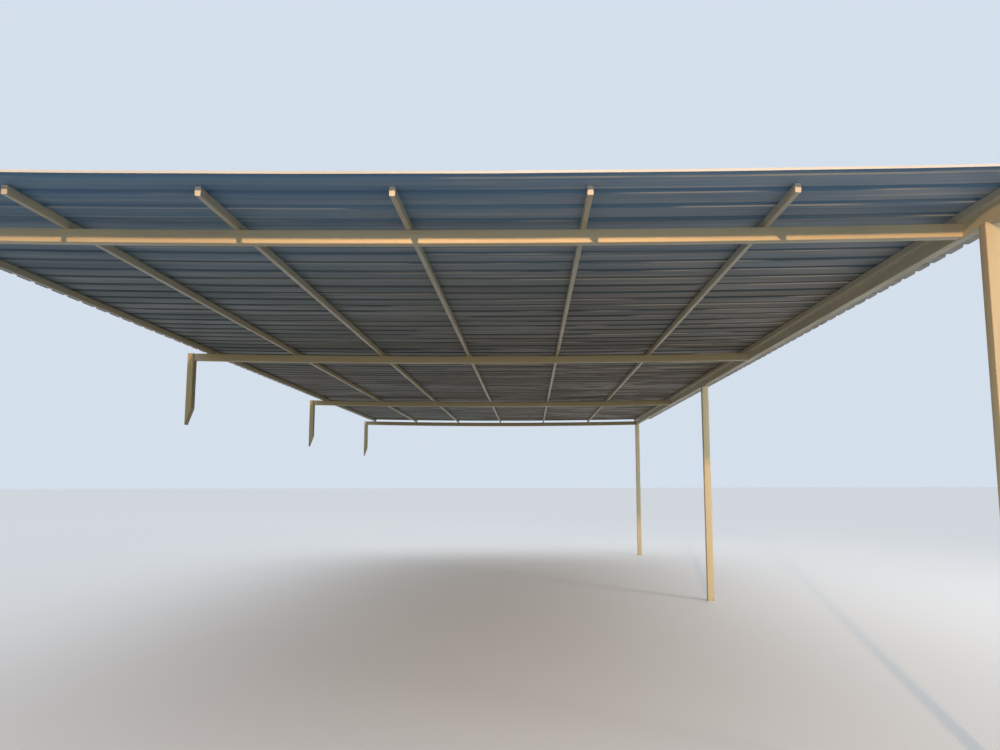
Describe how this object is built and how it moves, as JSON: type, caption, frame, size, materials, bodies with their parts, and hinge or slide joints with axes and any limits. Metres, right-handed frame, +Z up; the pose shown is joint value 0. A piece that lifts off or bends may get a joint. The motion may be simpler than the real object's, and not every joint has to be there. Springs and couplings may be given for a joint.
{
  "type": "lean-to carport",
  "caption": "Open lean-to carport: posts and an edge beam on one side, stub brackets on the other, cross beams, purlins and profiled roof sheets.",
  "frame": {"origin": "centre of the middle post's foot face, at foot level", "axes": "+X from the brackets out past the posts, +Y along the carport from its front end to its rear, +Z up"},
  "size_m": [6.7, 13.7539, 3.1502],
  "materials": {
    "beam_paint": "cream gloss paint over welded tube, brushed on, slightly dirty",
    "post_paint": "cream gloss paint, dusty at the foot",
    "purlin_paint": "cream paint, greyed by dust",
    "roof_sheet": "coated sheet, pale above and blue grey below, with dirt along the ribs"
  },
  "bodies": {
    "root": {"bracket_plates_1": "beam_paint", "bracket_plates_2": "beam_paint", "bracket_plates_3": "beam_paint", "bracket_plates_4": "beam_paint", "cross_beam_1": "beam_paint", "cross_beam_2": "beam_paint", "cross_beam_3": "beam_paint", "cross_beam_4": "beam_paint", "edge_beam": "beam_paint", "edge_beam_end_plates": "beam_paint", "foot_plate_front": "post_paint", "foot_plate_middle": "post_paint", "foot_plate_rear": "post_paint", "post_front": "post_paint", "post_middle": "post_paint", "post_rear": "post_paint", "purlin_1": "purlin_paint", "purlin_2": "purlin_paint", "purlin_3": "purlin_paint", "purlin_4": "purlin_paint", "purlin_5": "purlin_paint", "purlin_6": "purlin_paint", "purlin_7": "purlin_paint", "purlin_front_plates": "purlin_paint", "purlin_rear_plates": "purlin_paint", "roof_sheet_01": "roof_sheet", "roof_sheet_02": "roof_sheet", "roof_sheet_03": "roof_sheet", "roof_sheet_04": "roof_sheet", "roof_sheet_05": "roof_sheet", "roof_sheet_06": "roof_sheet", "roof_sheet_07": "roof_sheet", "roof_sheet_08": "roof_sheet", "roof_sheet_09": "roof_sheet", "roof_sheet_10": "roof_sheet", "roof_sheet_11": "roof_sheet", "roof_sheet_12": "roof_sheet", "roof_sheet_13": "roof_sheet", "roof_sheet_14": "roof_sheet", "side_bracket_1": "beam_paint", "side_bracket_2": "beam_paint", "side_bracket_3": "beam_paint", "side_bracket_4": "beam_paint"}
  },
  "joints": []
}
